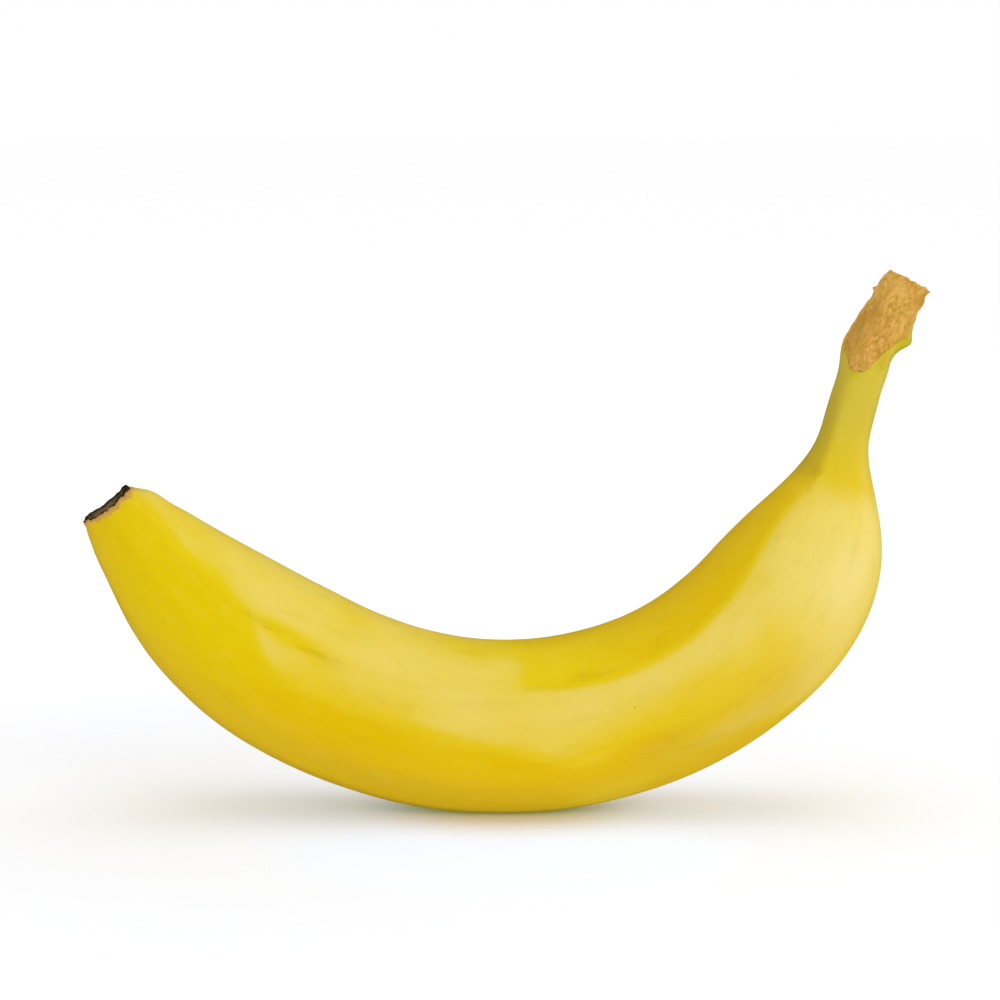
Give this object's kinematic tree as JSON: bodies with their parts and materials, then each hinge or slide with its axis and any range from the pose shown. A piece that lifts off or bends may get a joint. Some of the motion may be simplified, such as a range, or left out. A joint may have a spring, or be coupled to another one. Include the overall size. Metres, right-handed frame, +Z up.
{
  "type": "banana",
  "caption": "Whole ripe banana, bowed, with a soft-ridged body, a slim neck, a torn corky crown and a dark blossom scar, resting on its rounded back.",
  "frame": {"origin": "bottom centre of the bounding box, on the face that the fruit rests on", "axes": "+Z up; +X from the blossom end towards the crown; the bow lies in the XZ plane and the front faces -Y"},
  "size_m": [0.1724, 0.035, 0.1115],
  "materials": {
    "peel": "satin yellow peel, brown corky crown, near-black blossom scar"
  },
  "bodies": {
    "root": {"banana": "peel"}
  },
  "joints": []
}
